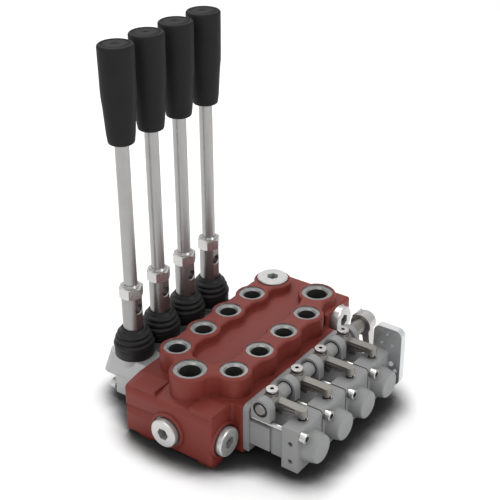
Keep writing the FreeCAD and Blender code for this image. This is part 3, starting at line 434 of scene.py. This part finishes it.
for i in SECTIONS:
    low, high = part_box(f"lever_boot_{i}")
    x, y = (low[0] + high[0]) / 2, (low[1] + high[1]) / 2
    boot = turned(f"bellows_{i}", boot_profile(low[2], high[2]), x, y, 72)
    boot.data.materials.append(boot_rubber.material)
    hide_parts(f"lever_boot_{i}")
    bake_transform(boot)


# Trip gear housings: die cast spring housings and end blocks in mid grey paint, each section
# bolted to the casting by two long cap screws. The springs and their cups are inside.
gear_paint = cast_grey("gear_grey_paint", (0.234, 0.236, 0.235), 0.44, 0.0, 0.00003, 0.0011)
dress(gear_paint, *[f"spring_housing_{i}" for i in SECTIONS], *[f"end_block_{i}" for i in SECTIONS])
bright_screw = plated_steel("bright_screw", (0.56, 0.56, 0.55), 0.28)
dress(bright_screw, "trip_gear_screws", "switch_plate_screws")
dress(plated_steel("lift_pin_steel", (0.55, 0.53, 0.51), 0.26), *[f"lift_pin_{i}" for i in SECTIONS])


# Painted shade: radius of the black ring painted round each lift pin.
GAP_SHADE_RADIUS = 0.0036


def guide_steel():
    """Turned steel with a near black ring in its top round the pin, as painted shade in the gap there.
    """
    steel = Finish("pin_guide_steel")
    x, y, z = steel.parts(steel.place())
    painted_gap_shade = 0.0
    for i in SECTIONS:
        low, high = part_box(f"lift_pin_{i}")
        painted_gap_shade = steel.disc(x, y, ((low[0] + high[0]) / 2, (low[1] + high[1]) / 2), GAP_SHADE_RADIUS) + painted_gap_shade
    marks = steel.grain(900.0)
    turned_face = steel.blend(marks, *shades((0.52, 0.52, 0.51), 0.12))
    steel.set(
        Base_Color=steel.blend(painted_gap_shade, turned_face, (0.01, 0.01, 0.01)),
        Metallic=1.0 - painted_gap_shade,
        Roughness=0.34 + (marks - 0.5) * 0.1)
    return steel


dress(guide_steel(), "pin_guides")
dress(plated_steel("spring_wire", (0.30, 0.30, 0.31), 0.35), "centring_springs")


# Trip shaft with its fingers and end lever: blasted and nickel plated steel with a warm cast.
# Black plastic bushes carry the shaft in the ears of the housings.
nickel = cast_grey("blasted_nickel", (0.265, 0.251, 0.233), 0.42, 1.0, 0.00003, 0.0005)
dress(nickel, "trip_shaft", *[f"trip_finger_{i}" for i in SECTIONS])
dress(plated_steel("clamp_screw_steel", (0.52, 0.505, 0.49), 0.30), "clamp_screws")
dress(plated_steel("end_lever_steel", (0.56, 0.545, 0.53), 0.34), "end_lever")
dress(black_rubber("bush_plastic", (0.012, 0.012, 0.012), 0.50, 0.00002), "shaft_bushes")


# Switch plate: a bar of milled aluminium. Its two faces carry fine scratches and are duller
# than its edges, which the cutter leaves bright.
def milled_plate():
    plate = Finish("milled_aluminium")
    nx, ny, nz = plate.parts(plate.add("ShaderNodeTexCoord", output="Normal"))
    face = nx.size().over(0.7)
    marks = plate.grain(900.0, 5.0, (1.0, 1.0, 0.12))
    cloud = plate.grain(140.0)
    bright = plate.blend(cloud, *shades((0.66, 0.67, 0.68), 0.06))
    dull = plate.blend(cloud * 0.6 + marks * 0.4, *shades((0.60, 0.61, 0.615), 0.22))
    plate.set(
        Base_Color=plate.blend(face, bright, dull),
        Metallic=1.0,
        Roughness=0.46 + (marks - 0.5) * 0.2,
        Normal=plate.relief(marks, 0.00002, 0.0004))
    return plate


dress(milled_plate(), "switch_plate")


# Floor, light and camera: a pale studio table with a painted contact shadow that darkens it where
# the valve stands close over it, soft light from behind and above so that the shadow falls towards
# the viewer, and the viewpoint of the photograph.
FLOOR_REACH = 12.0
FLOOR_DROP = 0.0002          # under the feet
PAINTED_SHADOW_REACH = 0.033        # the painted shadow darkens the floor as far as this from the valve
FLOOR_PAINTED_SHADOW = (0.02, 0.02, 0.02)
FLOOR_PALE = (0.97, 0.97, 0.97)

floor_mesh = bpy.data.meshes.new("floor")
floor_corners = [(x * FLOOR_REACH, y * FLOOR_REACH, 0) for x, y in ((-1, -1), (1, -1), (1, 1), (-1, 1))]
floor_mesh.from_pydata(floor_corners, [], [(0, 1, 2, 3)])
floor = bpy.data.objects.new("floor", floor_mesh)
floor.location.z = -FLOOR_DROP
bpy.context.scene.collection.objects.link(floor)
table = Finish("pale_table")
# Painted shadow: ambient occlusion darkens the floor's colour close under the valve.
openness = table.add("ShaderNodeAmbientOcclusion", {"samples": 12}, {"Distance": PAINTED_SHADOW_REACH}, "AO")
painted_contact_shadow = table.add("ShaderNodeMapRange", {"interpolation_type": "SMOOTHSTEP"},
                    {"Value": openness, "From Min": 0.60, "From Max": 0.97})
table.set(Base_Color=table.blend(painted_contact_shadow, FLOOR_PAINTED_SHADOW, FLOOR_PALE), Roughness=0.9)
floor_mesh.materials.append(table.material)

world = bpy.data.worlds.new("studio")
bpy.context.scene.world = world
world.use_nodes = True
sky = world.node_tree
height = sky.nodes.new("ShaderNodeSeparateXYZ")
fade = sky.nodes.new("ShaderNodeValToRGB")
for stop, place, colour in zip(fade.color_ramp.elements, (0.0, 0.75),
                               ((0.56, 0.56, 0.57, 1.0), (0.82, 0.82, 0.82, 1.0))):
    stop.position, stop.color = place, colour
sky.links.new(sky.nodes.new("ShaderNodeTexCoord").outputs["Generated"], height.inputs[0])
sky.links.new(height.outputs["Z"], fade.inputs["Fac"])
sky.links.new(fade.outputs["Color"], sky.nodes["Background"].inputs["Color"])


def softbox(name, place, size, power):
    """Square lamp that faces the middle of the valve."""
    lamp = bpy.data.lights.new(name, "AREA")
    lamp.size = size
    lamp.energy = power
    box = bpy.data.objects.new(name, lamp)
    box.location = place
    box.rotation_euler = (Vector((0, 0, 0.08)) - Vector(place)).to_track_quat("-Z", "Y").to_euler()
    bpy.context.scene.collection.objects.link(box)


softbox("back_softbox", (0.45, 0.75, 1.5), 1.0, 12.0)
softbox("left_softbox", (-1.2, 0.0, 1.2), 1.2, 4.5)
softbox("front_softbox", (0.15, -1.6, 0.8), 0.7, 6.0)

AZIMUTH = math.radians(-54.149)
ELEVATION = math.radians(28.266)
ROLL = math.radians(-0.312)
CAMERA_PLACE = (-0.66695, -0.48951, 0.59499)
SENSOR_WIDTH = 36.0          # millimetres, as the lens
LENS = 79.43
look = Vector((-math.sin(AZIMUTH) * math.cos(ELEVATION), math.cos(AZIMUTH) * math.cos(ELEVATION),
               -math.sin(ELEVATION)))
level = look.cross(Vector((0, 0, 1))).normalized()
upward = level.cross(look)
right = math.cos(ROLL) * level + math.sin(ROLL) * upward
up = -math.sin(ROLL) * level + math.cos(ROLL) * upward
camera_data = bpy.data.cameras.new("camera")
camera_data.sensor_width = SENSOR_WIDTH
camera_data.lens = LENS
camera_data.clip_end = 20.0
camera = bpy.data.objects.new("camera", camera_data)
bpy.context.scene.collection.objects.link(camera)
camera.matrix_world = (Matrix.Translation(CAMERA_PLACE)
                       @ Matrix((right, up, -look)).transposed().to_4x4())
bpy.context.scene.camera = camera
bpy.context.scene.view_settings.view_transform = "Standard"
